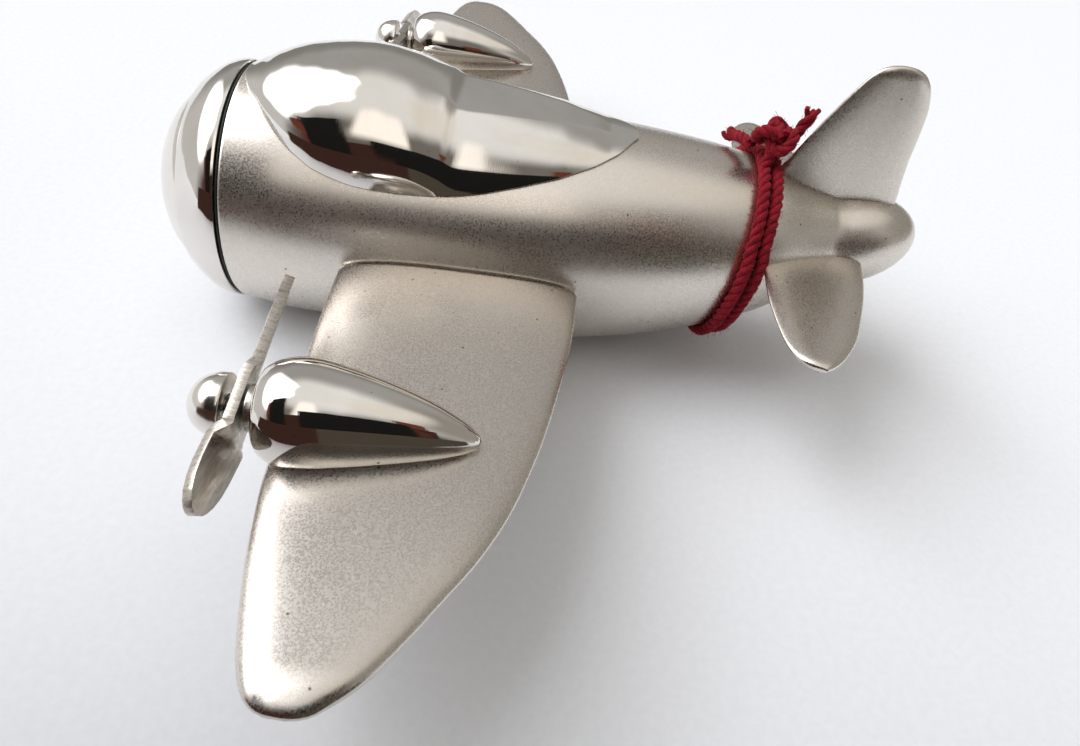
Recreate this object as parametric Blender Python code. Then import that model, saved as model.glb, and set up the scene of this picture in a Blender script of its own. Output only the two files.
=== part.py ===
"""Toy airplane: twin-engine, plated metal castings, free-turning sheet propellers, yarn tie.

Nose towards -Y, tail towards +Y, port wing towards +X, +Z up. Metres throughout.
The drawing constants are in millimetres about the nose seam, and place() moves every
sub-part so that the origin is at the bottom centre of the whole airplane.
"""

import bisect
import math

import bmesh
import bpy
from mathutils import Matrix, Vector

MM = 0.001
GAP = 0.3  # clearance between neighbouring sub-parts
SEAM_TO_MIDDLE = 43.45  # Y of the airplane's middle, measured from the nose seam
BELLY = -18.3  # Z of the flat under the belly

# Fuselage: station Y, radius, height of the centre line
HULL = (
    (0.0, 17.3, 0.25),
    (7.65, 17.8, -0.45),
    (15.3, 17.8, -0.99),
    (22.95, 17.6, -1.22),
    (30.6, 17.5, -1.30),
    (38.25, 17.45, -1.22),
    (45.9, 17.2, -0.98),
    (53.55, 16.5, -0.56),
    (61.2, 15.4, 0.02),
    (68.85, 13.85, 0.77),
    (76.5, 11.6, 1.67),
    (82.0, 9.25, 2.45),
    (86.7, 7.4, 3.2),
)
HULL_END = 99.8
NOSE_Z = 0.25  # height of the nose cap's axis
WALL = 2.4
HULL_SIDES = 56

# Canopy: station Y, half angle of its footprint round the hull, top Z, half width of the
# flat on top
CANOPY = (
    (0.75, 5.0, 18.0, 0.0),
    (1.6, 14.9, 18.5, 0.0),
    (3.1, 20.3, 19.15, 0.0),
    (4.2, 26.4, 19.85, 0.0),
    (6.5, 34.6, 20.85, 0.0),
    (8.6, 40.5, 21.55, 0.0),
    (11.8, 46.7, 22.25, 0.0),
    (14.5, 49.4, 22.65, 0.0),
    (17.4, 51.3, 22.85, 0.0),
    (20.0, 51.7, 22.7, 0.0),
    (23.8, 51.7, 21.7, 0.2),
    (27.0, 50.9, 20.3, 0.6),
    (29.3, 50.1, 19.0, 2.4),
    (30.4, 49.7, 18.75, 4.6),
    (31.4, 49.2, 18.75, 5.3),
    (34.5, 47.0, 18.65, 4.9),
    (39.5, 41.9, 18.3, 4.1),
    (44.8, 35.7, 17.8, 3.1),
    (49.5, 27.4, 16.9, 1.9),
    (52.7, 18.3, 16.0, 0.8),
    (54.6, 8.0, 15.5, 0.3),
    (55.3, 3.0, 15.3, 0.1),
)
CANOPY_EDGE = 0.3

# Wing: span X, leading edge Y; span X, trailing edge Y
WING_LEAD = (
    (13.0, 16.2),
    (28.2, 16.4),
    (36.9, 16.7),
    (56.9, 17.4),
    (61.9, 18.0),
    (66.5, 18.7),
    (71.7, 19.8),
    (76.3, 21.0),
    (78.9, 22.1),
    (80.2, 23.2),
    (80.9, 24.7),
    (81.05, 26.4),
)
WING_TRAIL = (
    (13.0, 49.6),
    (26.5, 48.8),
    (38.6, 47.2),
    (45.9, 45.9),
    (51.9, 44.5),
    (57.7, 42.8),
    (63.6, 40.3),
    (69.2, 37.1),
    (73.9, 34.3),
    (77.6, 31.7),
    (79.5, 29.7),
    (80.7, 28.0),
    (81.05, 26.4),
)
WING_Z, WING_RISE = -1.28, 0.044
WING_THICK = (3.9, 2.8)

# Stabilizer and fin, in the same form; the fin's span runs along Z
STAB_LEAD = (
    (3.0, 76.4),
    (13.0, 75.2),
    (19.5, 74.8),
    (24.2, 75.0),
    (28.0, 75.4),
    (30.6, 76.1),
    (31.9, 77.0),
    (32.8, 78.2),
    (33.3, 79.8),
)
STAB_TRAIL = (
    (3.0, 91.5),
    (8.5, 90.5),
    (13.6, 89.5),
    (21.7, 87.0),
    (26.4, 85.2),
    (30.6, 82.7),
    (32.5, 81.0),
    (33.3, 79.8),
)
STAB_Z, STAB_RISE = 3.7, 0.03
FIN_LEAD = (
    (4.0, 71.6),
    (14.2, 76.6),
    (28.3, 83.9),
    (29.4, 84.8),
    (30.2, 86.2),
    (30.5, 87.9),
)
FIN_TRAIL = (
    (4.0, 95.8),
    (10.5, 95.0),
    (16.5, 94.2),
    (24.1, 93.7),
    (27.5, 92.8),
    (29.4, 91.5),
    (30.3, 89.8),
    (30.5, 87.9),
)

# Engine: position of the thrust line; nacelle station Y, radius, height of its centre
THRUST_X, THRUST_Z = 50.0, 4.25
NACELLE = (
    (15.6, 3.6, 4.25),
    (15.75, 4.3, 4.25),
    (16.3, 4.95, 4.25),
    (17.2, 5.5, 4.25),
    (18.6, 5.95, 4.25),
    (20.3, 6.1, 4.25),
    (22.3, 5.95, 4.22),
    (26.2, 5.2, 4.15),
    (30.2, 4.2, 4.0),
    (34.0, 3.05, 3.7),
    (36.8, 1.9, 3.35),
    (38.4, 0.9, 3.15),
)
NACELLE_END = (38.9, 3.1)
PROP_Y, PROP_THICK, PROP_RADIUS = 13.6, 1.15, 16.1
PROP_SHIFT = 3.2  # the strip sits off its screw by this much, towards starboard
PROP_PITCH, PROP_TURN = math.radians(22), math.radians(-7.7)
PROP_RAKE = 0.10  # the port blade leans forward by this much of its length
# Propeller: distance from the hub, chord
BLADE = (
    (0.0, 5.0),
    (2.2, 5.0),
    (4.2, 5.0),
    (5.8, 5.1),
    (7.6, 5.4),
    (9.6, 5.6),
    (11.4, 5.5),
    (13.0, 5.0),
    (14.4, 4.0),
    (15.3, 2.9),
    (15.8, 1.9),
)
HUB_FLAT, HUB_TWIST = 3.4, 5.0
SHAFT_R, SHAFT_HOLE, RUN_HOLE = 1.15, 1.45, 1.22
SPINNER = ((8.1, 0.0), (8.2, 0.9), (8.6, 1.8), (9.3, 2.6), (10.2, 3.15), (11.2, 3.45), (12.0, 3.5))

# Yarn tie round the tail
YARN_R = 0.88
YARN_Y, YARN_LEAN = 72.7, 1.9


def clear_scene():
    for obj in list(bpy.data.objects):
        bpy.data.objects.remove(obj, do_unlink=True)


def material(name, colour, metallic, roughness):
    made = bpy.data.materials.new(name)
    made.use_nodes = True
    shader = made.node_tree.nodes["Principled BSDF"]
    shader.inputs["Base Color"].default_value = (*colour, 1.0)
    shader.inputs["Metallic"].default_value = metallic
    shader.inputs["Roughness"].default_value = roughness
    made.diffuse_color = (*colour, 1.0)
    return made


def along(table, at, column=1):
    """Smooth value of one column of a table at a station (Hermite with limited slopes)."""
    xs = [row[0] for row in table]
    ys = [row[column] for row in table]
    if at <= xs[0]:
        return ys[0]
    if at >= xs[-1]:
        return ys[-1]
    rise = [(ys[i + 1] - ys[i]) / (xs[i + 1] - xs[i]) for i in range(len(xs) - 1)]
    slope = [rise[0]]
    for before, after in zip(rise, rise[1:]):
        slope.append(0.0 if before * after <= 0 else 2 * before * after / (before + after))
    slope.append(rise[-1])
    i = bisect.bisect_right(xs, at) - 1
    width = xs[i + 1] - xs[i]
    t = (at - xs[i]) / width
    return (
        (2 * t**3 - 3 * t**2 + 1) * ys[i]
        + (t**3 - 2 * t**2 + t) * width * slope[i]
        + (3 * t**2 - 2 * t**3) * ys[i + 1]
        + (t**3 - t**2) * width * slope[i + 1]
    )


def spread(start, end, count):
    return [start + (end - start) * i / (count - 1) for i in range(count)]


def place(point):
    """Drawing millimetres about the seam to metres about the bottom centre."""
    return Vector((point[0], point[1] - SEAM_TO_MIDDLE, point[2] - BELLY)) * MM


def new_object(name, bm, look, smooth=35.0):
    bmesh.ops.recalc_face_normals(bm, faces=bm.faces)
    if bm.calc_volume(signed=True) < 0:
        bmesh.ops.reverse_faces(bm, faces=bm.faces)
    mesh = bpy.data.meshes.new(name)
    bm.to_mesh(mesh)
    bm.free()
    mesh.shade_smooth()
    mesh.set_sharp_from_angle(angle=math.radians(smooth))
    obj = bpy.data.objects.new(name, mesh)
    bpy.context.scene.collection.objects.link(obj)
    if look:
        mesh.materials.append(look)
    return obj


def skin(bm, rings, closed=False):
    """Joins rings of points with quads. A ring of one point is a pole. Ends are capped."""
    rows = [[bm.verts.new(place(p)) for p in ring] for ring in rings]
    pairs = list(zip(rows, rows[1:]))
    if closed:
        pairs.append((rows[-1], rows[0]))
    for a, b in pairs:
        count = max(len(a), len(b))
        for i in range(count):
            j = (i + 1) % count
            corners = [a[i % len(a)], a[j % len(a)], b[j % len(b)], b[i % len(b)]]
            bm.faces.new(list(dict.fromkeys(corners)))
    if not closed:
        for row in (rows[0], rows[-1]):
            if len(row) > 2:
                bm.faces.new(row)


def solid(name, rings, look, closed=False, smooth=35.0):
    bm = bmesh.new()
    skin(bm, rings, closed)
    return new_object(name, bm, look, smooth)


def circle(y, radius, x=0.0, z=0.0, sides=32, floor=None):
    if radius <= 0:
        return [(x, y, z)]
    ring = []
    for i in range(sides):
        turn = 2 * math.pi * i / sides
        high = z + radius * math.cos(turn)
        ring.append((x + radius * math.sin(turn), y, high if floor is None else max(high, floor)))
    return ring


def cut(target, cutter):
    cutter.hide_render = True
    cutter.display_type = "WIRE"
    modifier = target.modifiers.new("cut_" + cutter.name, "BOOLEAN")
    modifier.operation = "DIFFERENCE"
    modifier.solver = "EXACT"
    modifier.object = cutter
    bpy.context.view_layer.update()
    graph = bpy.context.evaluated_depsgraph_get()
    bm = bmesh.new()
    bm.from_mesh(bpy.data.meshes.new_from_object(target.evaluated_get(graph)))
    bmesh.ops.remove_doubles(bm, verts=bm.verts, dist=0.01 * MM)
    bmesh.ops.dissolve_degenerate(bm, dist=0.005 * MM, edges=bm.edges)
    target.modifiers.clear()
    bm.to_mesh(target.data)
    bm.free()
    target.data.shade_smooth()
    target.data.set_sharp_from_angle(angle=math.radians(35))


def hull_at(y):
    """(radius, centre Z) of the fuselage, closing in a rounded end."""
    last = HULL[-1][0]
    radius, z = along(HULL, y, 1), along(HULL, y, 2)
    if y > last:
        t = min((y - last) / (HULL_END - last), 1.0)
        radius *= max(1 - t**2.2, 0.0) ** 0.5
        z += 0.17 * (y - last)
    return radius, z


def hull_rings(grow=0.0, start=0.0, stations=26, sides=HULL_SIDES, floor=None):
    last = HULL[-1][0]
    ys = spread(start, last, stations)
    ys += [last + (HULL_END - last) * t for t in (0.2, 0.4, 0.58, 0.73, 0.85, 0.93, 0.98)]
    rings = []
    for y in ys:
        radius, z = hull_at(max(y, 0.0))
        rings.append(circle(y, radius + grow, 0, z, sides, floor))
    rings.append([(0, HULL_END + max(grow, 0.0), hull_at(HULL_END)[1])])
    return rings


def fuselage(look):
    outer = hull_rings(floor=BELLY)
    inner = []
    for y in spread(0.0, 80.0, 12):
        radius, z = hull_at(y)
        inner.append(circle(y, radius - WALL, 0, z, HULL_SIDES, BELLY + WALL))
    inner.append([(0, 86.0, hull_at(86.0)[1])])
    return solid("fuselage_shell", inner[::-1] + outer, look)


def canopy(look):
    stations = [0.75, 1.6, 2.4, 3.3, 4.4, 5.6, 7.0, 8.6, 10.4, 12.4, 14.6, 17.0, 19.4, 21.8]
    stations += [24.0, 26.0, 27.8, 29.3, 30.4, 31.4, 33.0, 35.5, 38.5, 41.5, 44.5, 47.0]
    stations += [49.2, 51.2, 52.8, 54.0, 54.9, 55.3]
    half = 14
    rings = []
    for y in stations:
        radius, z = hull_at(y)
        base = radius + GAP
        angle = math.radians(along(CANOPY, y, 1))
        top, flat = along(CANOPY, y, 2), along(CANOPY, y, 3)
        top = max(top, z + base + CANOPY_EDGE)
        foot_x = (base + CANOPY_EDGE) * math.sin(angle)
        foot_z = z + (base + CANOPY_EDGE) * math.cos(angle)
        flat = min(flat, 0.6 * foot_x)
        over, under = [], []
        for i in range(-half, half + 1):
            t = abs(i) / half
            side = -1 if i < 0 else 1
            if t < 0.25:
                x, high = flat * t / 0.25, top
            else:
                turn = (t - 0.25) / 0.75 * math.pi / 2
                x = flat + (foot_x - flat) * math.sin(turn)
                high = foot_z + (top - foot_z) * math.cos(turn)
            if flat < 0.05:
                turn = t * math.pi / 2
                x, high = foot_x * math.sin(turn), foot_z + (top - foot_z) * math.cos(turn)
            over.append((side * x, y, high))
            turn = angle * i / half
            under.append((base * math.sin(turn), y, z + base * math.cos(turn)))
        rings.append(over + under[::-1])
    return solid("canopy", rings, look)


def plate(lead, trail, stations, thick, to_point, grow=0.0, sides=28, power=3.0):
    """Rings of a flat surface with rounded edges. to_point maps (span, chord, thickness)."""
    tip = lead[-1][0]
    rings = []
    for span in stations:
        front, back = along(lead, span) - grow, along(trail, span) + grow
        t = (span - stations[0]) / (tip - stations[0])
        body = thick[0] + (thick[1] - thick[0]) * t
        near_tip = max(0.0, 1 - ((tip - span) / (0.055 * tip)) ** 1.0)
        body = body * math.sqrt(max(1 - near_tip**2, 0.02)) + 2 * grow
        middle, half = (front + back) / 2, (back - front) / 2
        ring = []
        for i in range(sides):
            turn = 2 * math.pi * i / sides
            c, s = math.cos(turn), math.sin(turn)
            u = math.copysign(abs(c) ** 0.75, c)
            v = math.copysign(max(1 - abs(u) ** power, 0.0) ** 0.55, s)
            ring.append(to_point(span, middle + half * u, body / 2 * v))
        rings.append(ring)
    rings.append([to_point(tip + grow, (along(lead, tip) + along(trail, tip)) / 2, 0.0)])
    return rings


def wing_rings(side, grow=0.0):
    stations = [13.0, 18, 24, 30, 36, 42, 48, 54, 60, 65, 69.5, 73.2, 76.0, 78.0, 79.4]
    stations += [80.3, 80.8]

    def to_point(span, chord, high):
        return side * span, chord, WING_Z + WING_RISE * span + high

    return plate(WING_LEAD, WING_TRAIL, stations, WING_THICK, to_point, grow)


def stabilizer_rings(side):
    stations = [3.0, 7, 11, 15, 19, 22.5, 25.5, 28, 30, 31.5, 32.5, 33.0]

    def to_point(span, chord, high):
        return side * span, chord, STAB_Z + STAB_RISE * span + high

    return plate(STAB_LEAD, STAB_TRAIL, stations, (2.0, 1.4), to_point, sides=24)


def fin_rings():
    stations = [4.0, 8, 12, 16, 20, 24, 27, 28.8, 29.7, 30.2, 30.4]
    return plate(
        FIN_LEAD, FIN_TRAIL, stations, (2.2, 1.5), lambda s, c, h: (h, c, s), sides=24
    )


def nacelle_rings(side):
    x = side * THRUST_X
    sides = 32
    hole_end = 19.6
    rings = [[(x, hole_end, THRUST_Z)], circle(hole_end, SHAFT_HOLE, x, THRUST_Z, sides)]
    rings.append(circle(NACELLE[0][0], SHAFT_HOLE, x, THRUST_Z, sides))
    for y in [row[0] for row in NACELLE[:6]] + [21.5, 23.5, 25.5, 28, 30.5, 33, 35.2, 37.0, 38.2]:
        rings.append(circle(y, along(NACELLE, y, 1), x, along(NACELLE, y, 2), sides))
    rings.append([(x, NACELLE_END[0], NACELLE_END[1])])
    return rings


def propeller(name, side, look):
    """One twisted sheet strip: a flat hub and two blades pitched opposite ways."""
    reach = {-row[0] for row in BLADE if row[0] > HUB_TWIST} | {row[0] for row in BLADE[5:]}
    for i in range(-4, 5):
        at = (HUB_TWIST - (4 - abs(i)) * 0.4) * (1 if i > 0 else -1) if i else 0.0
        reach.add(at + PROP_SHIFT)
    reach = sorted(reach)
    turned = Matrix.Rotation(-side * PROP_TURN, 4, "Y")
    rings = []
    for span in [-PROP_RADIUS] + reach + [PROP_RADIUS]:
        chord = 0.9 if abs(span) == PROP_RADIUS else along(BLADE, abs(span))
        out = span - PROP_SHIFT
        ease = min(max((abs(out) - HUB_FLAT) / (HUB_TWIST - HUB_FLAT), 0.0), 1.0)
        pitch = PROP_PITCH * ease * (3 - 2 * ease) * ease * math.copysign(1, out) * side
        lean = -PROP_RAKE * max(out - HUB_FLAT, 0.0)
        across = Vector((0, -math.sin(pitch), math.cos(pitch)))
        through = Vector((0, math.cos(pitch), math.sin(pitch)))
        thick = PROP_THICK * (0.8 if abs(span) == PROP_RADIUS else 1.0)
        ring = []
        for a, b in ((-1, -0.7), (-0.93, -1), (0.93, -1), (1, -0.7), (1, 0.7), (0.93, 1), (-0.93, 1), (-1, 0.7)):
            point = Vector((out, lean, 0)) + across * (a * chord / 2) + through * (b * thick / 2)
            point = turned @ point
            ring.append((side * THRUST_X + point.x, PROP_Y + point.y, THRUST_Z + point.z))
        rings.append(ring)
    obj = solid(name, rings, look)
    hole = solid(
        name + "_hole",
        [circle(y, RUN_HOLE, side * THRUST_X, THRUST_Z, 32) for y in (10.0, 17.0)],
        None,
    )
    cut(obj, hole)
    return obj


def spinner_rings(side):
    x = side * THRUST_X
    rings = [circle(y, radius, x, THRUST_Z, 32) for y, radius in SPINNER]
    rings.append(circle(12.25, 3.3, x, THRUST_Z, 32))
    rings.append(circle(12.25, SHAFT_HOLE, x, THRUST_Z, 32))
    rings.append(circle(10.2, SHAFT_HOLE, x, THRUST_Z, 32))
    rings.append([(x, 10.2, THRUST_Z)])
    return rings


def shaft_rings(side):
    x = side * THRUST_X
    ends = ((10.5, 0.85), (10.8, SHAFT_R), (19.0, SHAFT_R), (19.3, 0.85))
    return [circle(y, radius, x, THRUST_Z, 20) for y, radius in ends]


def washer_rings(side):
    x = side * THRUST_X
    corners = ((SHAFT_HOLE, 14.48), (2.6, 14.48), (2.6, 15.3), (SHAFT_HOLE, 15.3))
    return [circle(y, radius, x, THRUST_Z, 24) for radius, y in corners]


def tube(path, radius, sides=8, closed=False, taper=None):
    """Rings of a round strand along a path of points."""
    rings = []
    count = len(path)
    for i, point in enumerate(path):
        here = Vector(point)
        before = Vector(path[i - 1] if closed or i else path[0])
        after = Vector(path[(i + 1) % count] if closed or i < count - 1 else path[-1])
        forward = (after - before).normalized()
        axis = Vector((0, 1, 0.02)) if abs(forward.y) < 0.9 else Vector((0.02, 0, 1))
        right = forward.cross(axis).normalized()
        up = right.cross(forward)
        size = radius * (taper[i] if taper else 1.0)
        ring = []
        for k in range(sides):
            turn = 2 * math.pi * k / sides
            ring.append(tuple(here + right * (size * math.cos(turn)) + up * (size * math.sin(turn))))
        rings.append(ring)
    return rings


def yarn_loop(shift):
    path = []
    for i in range(56):
        turn = 2 * math.pi * i / 56
        y = YARN_Y + shift + YARN_LEAN * math.cos(turn)
        radius, z = hull_at(y)
        reach = radius + YARN_R + GAP
        path.append((reach * math.sin(turn), y, z + reach * math.cos(turn)))
    return tube(path, YARN_R, 8, closed=True)


def knot():
    radius, z = hull_at(YARN_Y + YARN_LEAN)
    centre = Vector((0.4, YARN_Y + YARN_LEAN + 0.2, z + radius + 4.95))
    path = []
    for i in range(48):
        t = 2 * math.pi * i / 48
        path.append(
            (
                centre.x + 0.86 * (math.sin(t) + 2 * math.sin(2 * t)),
                centre.y + 0.86 * (math.cos(t) - 2 * math.cos(2 * t)),
                centre.z - 1.2 * math.sin(3 * t),
            )
        )
    return tube(path, 0.72, 8, closed=True)


def yarn_end(points):
    """A loose end: a smooth strand through four points, narrowing at its cut end."""
    path = []
    for i in range(12):
        t = i / 11
        weights = ((1 - t) ** 3, 3 * t * (1 - t) ** 2, 3 * t**2 * (1 - t), t**3)
        path.append(tuple(sum(w * p[k] for w, p in zip(weights, points)) for k in range(3)))
    taper = [0.8 + 0.2 * min(i / 3, 1) - 0.25 * max(0, i - 9) / 2 for i in range(12)]
    return tube(path, YARN_R, 8, taper=taper)


def build():
    clear_scene()
    satin = material("satin_nickel", (0.66, 0.62, 0.57), 1.0, 0.38)
    mirror = material("polished_nickel", (0.78, 0.75, 0.71), 1.0, 0.06)
    sheet = material("sheared_sheet", (0.62, 0.59, 0.54), 1.0, 0.3)
    steel = material("screw_steel", (0.7, 0.68, 0.65), 1.0, 0.2)
    rubber = material("black_gasket", (0.015, 0.02, 0.018), 0.0, 0.6)
    yarn = material("red_yarn", (0.35, 0.01, 0.02), 0.0, 0.9)

    fuselage(satin)
    canopy(mirror)
    envelope = solid("hull_envelope", hull_rings(GAP, start=-2.0), None)
    ring = ((14.4, 3.0), (14.4, -0.1), (14.75, -0.5), (17.25, -0.5), (17.42, -0.75), (17.38, -1.8),
            (16.95, -3.1), (16.2, -4.4), (15.35, -5.5), (14.6, -6.4), (14.1, -6.85), (13.7, -6.8),
            (13.5, -6.4), (13.5, -5.0), (12.95, -4.6), (12.95, 3.0))
    solid("nose_ring", [circle(y, r, z=NOSE_Z, sides=56) for r, y in ring], mirror, closed=True)
    dome = ((0, -2.5), (12.65, -2.5), (12.65, -4.95), (13.2, -5.3), (13.2, -6.9), (13.0, -7.5),
            (12.4, -8.2), (11.4, -9.15), (10.1, -10.1), (8.3, -11.1), (6.2, -11.95), (3.6, -12.65),
            (0, -12.9))
    solid("nose_dome", [circle(y, r, z=NOSE_Z, sides=48) for r, y in dome], mirror)
    gasket = ((14.95, -0.12), (17.15, -0.12), (17.15, -0.38), (14.95, -0.38))
    solid("nose_gasket", [circle(y, r, z=NOSE_Z, sides=56) for r, y in gasket], rubber, closed=True)

    for side, word in ((1, "port"), (-1, "starboard")):
        wing = solid("wing_" + word, wing_rings(side), satin)
        cut(wing, envelope)
        nacelle = solid("nacelle_" + word, nacelle_rings(side), mirror)
        socket = solid("wing_socket_" + word, wing_rings(side, GAP), None)
        cut(nacelle, socket)
        propeller("propeller_" + word, side, sheet)
        solid("spinner_" + word, spinner_rings(side), mirror)
        solid("shaft_" + word, shaft_rings(side), steel)
        solid("washer_" + word, washer_rings(side), steel, closed=True)
        stabilizer = solid("stabilizer_" + word, stabilizer_rings(side), satin)
        cut(stabilizer, envelope)
    fin = solid("fin", fin_rings(), satin)
    cut(fin, envelope)

    solid("tie_loop_front", yarn_loop(-YARN_R - 0.12), yarn, closed=True)
    solid("tie_loop_rear", yarn_loop(YARN_R + 0.12), yarn, closed=True)
    solid("tie_knot", knot(), yarn, closed=True)
    top = hull_at(76.0)[1] + hull_at(76.0)[0]
    solid("tie_end_up", yarn_end(((-1.3, 78.3, top + 5.1), (-1.8, 78.7, top + 6.2),
          (-0.8, 77.8, top + 7.6), (-1.4, 78.4, top + 9.0))), yarn)
    solid("tie_end_side", yarn_end(((-2.8, 71.2, top + 2.9), (-4.0, 70.3, top + 2.6),
          (-5.5, 69.6, top + 2.0), (-6.6, 69.3, top + 1.2))), yarn)


build()
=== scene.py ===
"""Looks of the plated toy airplane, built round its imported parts.

Nose towards -Y, tail towards +Y, port wing towards +X, +Z up, all in metres.
"""

import bisect
import math
import random

import bmesh
import bpy
from mathutils import Matrix, Vector


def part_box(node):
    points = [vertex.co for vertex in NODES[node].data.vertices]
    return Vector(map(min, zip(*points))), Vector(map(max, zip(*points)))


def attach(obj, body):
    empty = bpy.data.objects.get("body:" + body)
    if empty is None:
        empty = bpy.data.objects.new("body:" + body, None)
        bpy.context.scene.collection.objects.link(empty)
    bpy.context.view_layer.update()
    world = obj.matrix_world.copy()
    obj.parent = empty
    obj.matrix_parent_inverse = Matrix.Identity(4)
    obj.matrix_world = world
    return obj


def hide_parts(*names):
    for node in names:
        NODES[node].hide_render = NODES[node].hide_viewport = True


MM = 0.001
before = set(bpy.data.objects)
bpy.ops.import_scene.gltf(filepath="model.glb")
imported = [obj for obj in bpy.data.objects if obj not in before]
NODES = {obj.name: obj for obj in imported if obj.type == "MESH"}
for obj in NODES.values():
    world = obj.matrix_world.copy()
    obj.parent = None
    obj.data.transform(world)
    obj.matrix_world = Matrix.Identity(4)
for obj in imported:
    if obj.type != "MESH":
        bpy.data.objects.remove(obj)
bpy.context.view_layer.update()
SIDES = {"port": 1, "starboard": -1}


# ---------------------------------------------------------------- shader maths


class Value:
    """One output of a node. Sums and products of values add Math nodes."""

    def __init__(self, graph, socket):
        self.graph, self.socket = graph, socket

    def _math(self, operation, *terms):
        return self.graph.node(
            "ShaderNodeMath", {"operation": operation}, dict(enumerate(terms))
        )

    def __add__(self, other):
        return self._math("ADD", self, other)

    def __sub__(self, other):
        return self._math("SUBTRACT", self, other)

    def __rsub__(self, other):
        return self._math("SUBTRACT", other, self)

    def __mul__(self, other):
        return self._math("MULTIPLY", self, other)

    def __mod__(self, other):
        return self._math("FLOORED_MODULO", self, other)

    __radd__, __rmul__ = __add__, __mul__

    def size(self):
        return self._math("ABSOLUTE", self)

    def most(self, other):
        return self._math("MAXIMUM", self, other)

    def rise(self, low, high):
        """0 below low, 1 above high, smooth between."""
        return self.graph.node(
            "ShaderNodeMapRange",
            {"interpolation_type": "SMOOTHSTEP"},
            {"Value": self, "From Min": low, "From Max": high},
        )


class Graph:
    """The nodes of one material or world."""

    def __init__(self, tree):
        self.tree = tree

    def node(self, kind, settings=None, values=None, out=0):
        made = self.tree.nodes.new(kind)
        for name, value in (settings or {}).items():
            setattr(made, name, value)
        for name, value in (values or {}).items():
            if isinstance(value, Value):
                self.tree.links.new(value.socket, made.inputs[name])
            else:
                made.inputs[name].default_value = value
        return Value(self, made.outputs[out])

    def place(self):
        return self.node("ShaderNodeTexCoord", out="Object")

    def noise(self, where, scale, detail=3.0, rough=0.55, distortion=0.0):
        return self.node(
            "ShaderNodeTexNoise",
            values={
                "Vector": where,
                "Scale": scale,
                "Detail": detail,
                "Roughness": rough,
                "Distortion": distortion,
            },
            out="Fac",
        )

    def cells(self, where, scale):
        return self.node(
            "ShaderNodeTexVoronoi", values={"Vector": where, "Scale": scale}, out="Distance"
        )

    def mix(self, a, b, factor):
        return self.node("ShaderNodeMix", {"data_type": "RGBA"}, {0: factor, 6: a, 7: b}, out=2)

    def stretch(self, where, scale, turn=(0, 0, 0)):
        return self.node(
            "ShaderNodeMapping", values={"Vector": where, "Scale": scale, "Rotation": turn}
        )

    def bump(self, height, depth, strength):
        return self.node(
            "ShaderNodeBump", values={"Height": height, "Distance": depth, "Strength": strength}
        )

    def parts(self, vector):
        """The X, Y and Z of a vector, as three values."""
        split = self.tree.nodes.new("ShaderNodeSeparateXYZ")
        self.tree.links.new(vector.socket, split.inputs[0])
        return [Value(self, socket) for socket in split.outputs]


def finish(name):
    """A new material: its graph and its Principled shader."""
    made = bpy.data.materials.new(name)
    made.use_nodes = True
    graph = Graph(made.node_tree)
    shader = made.node_tree.nodes["Principled BSDF"]

    def wire(**inputs):
        for key, value in inputs.items():
            socket = shader.inputs[key.replace("_", " ")]
            if isinstance(value, Value):
                made.node_tree.links.new(value.socket, socket)
            else:
                socket.default_value = value

    return made, graph, wire


def satin_nickel(name, face_axis=None):
    """Blasted, plated casting: sandy grain, a few pits. Where face_axis says which way its
    flat faces look (0 for X, 2 for Z), its rims are smoother and painted lighter: a painted
    highlight."""
    made, graph, wire = finish(name)
    where = graph.place()
    grain = graph.noise(where, 4200, 3, 0.6)
    coarse = graph.noise(where, 1500, 3, 0.55)
    cloud = graph.noise(where, 60, 3, 0.5)
    wide_pits = 1 - graph.cells(where, 300).rise(0.03, 0.06)
    small_pits = 1 - graph.cells(where, 820).rise(0.045, 0.11)
    sparse = graph.noise(where, 140, 2).rise(0.52, 0.6)
    pits = wide_pits.most(small_pits * sparse * 0.35)
    sparkle = grain.rise(0.32, 0.7) * 0.75 + coarse.rise(0.35, 0.7) * 0.35
    colour = graph.mix((0.66, 0.612, 0.555, 1), (0.735, 0.69, 0.635, 1), sparkle)
    colour = graph.mix(colour, (0.66, 0.63, 0.59, 1), cloud.rise(0.35, 0.7) * 0.25)
    rough = 0.27 + 0.13 * grain.rise(0.35, 0.7) - 0.03 * cloud.rise(0.35, 0.65)
    if face_axis is not None:
        normal = graph.node("ShaderNodeNewGeometry", out="Normal")
        edge = 1 - graph.parts(normal)[face_axis].size().rise(0.35, 0.80)
        rough = rough - 0.14 * edge
        # painted highlight: the rims' colour is lightened where the normal turns away from the flat
        # faces
        colour = graph.mix(colour, (0.74, 0.70, 0.645, 1), edge * 0.5)
    colour = graph.mix(colour, (0.06, 0.05, 0.04, 1), pits * 0.75)
    height = grain * 0.8 + coarse * 0.6 - pits * 2.5
    wire(
        Base_Color=colour,
        Metallic=1.0,
        Roughness=rough,
        Normal=graph.bump(height, 0.000004, 0.25),
    )
    return made


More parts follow.
